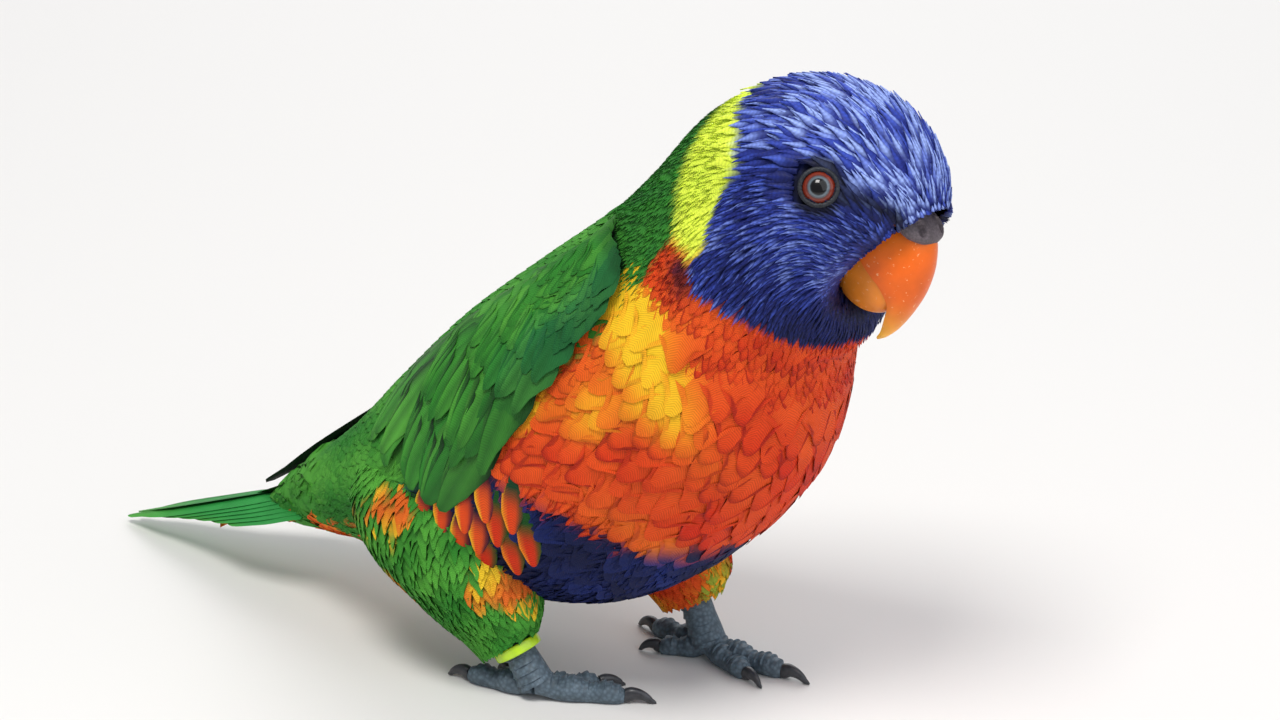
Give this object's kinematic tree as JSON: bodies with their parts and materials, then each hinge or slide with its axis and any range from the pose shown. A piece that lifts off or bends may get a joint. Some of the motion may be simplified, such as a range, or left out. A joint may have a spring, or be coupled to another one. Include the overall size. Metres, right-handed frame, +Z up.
{
  "type": "rainbow lorikeet",
  "caption": "Life-size still model of a stocky, long-tailed parrot standing on both feet with its wings folded and a ring on one leg.",
  "frame": {"origin": "on the floor, under the middle of the whole bird's box", "axes": "+X the way the bird faces, +Y its left, +Z up"},
  "size_m": [0.2284, 0.0708, 0.1502],
  "materials": {
    "blue_feathers": "matte, narrow pointed feathers with pale shafts",
    "yellow_green_feathers": "matte, soft close feathers",
    "orange_feathers": "matte, broad overlapping feathers with fine barbs",
    "green_feathers": "satin vanes, firm and overlapping",
    "bill_horn": "waxy horn, semi-gloss",
    "cere_skin": "bare matte skin",
    "eye_glass": "wet glossy eye with a ringed iris",
    "foot_scales": "small dry scales, matte",
    "claw_horn": "dark horn, semi-gloss",
    "lime_plastic": "smooth coloured plastic"
  },
  "bodies": {
    "root": {"rump": "green_feathers", "torso": "orange_feathers", "neck": "yellow_green_feathers", "head": "blue_feathers", "cere": "cere_skin", "bill_upper": "bill_horn", "bill_lower": "bill_horn", "eye_left": "eye_glass", "wing_left": "green_feathers", "thigh_left": "orange_feathers", "foot_left": "foot_scales", "claw_left_outer": "claw_horn", "claw_left_inner": "claw_horn", "claw_left_hindOuter": "claw_horn", "claw_left_hindInner": "claw_horn", "eye_right": "eye_glass", "wing_right": "green_feathers", "thigh_right": "orange_feathers", "foot_right": "foot_scales", "claw_right_outer": "claw_horn", "claw_right_inner": "claw_horn", "claw_right_hindOuter": "claw_horn", "claw_right_hindInner": "claw_horn", "tail": "green_feathers", "leg_band": "lime_plastic"}
  },
  "joints": []
}
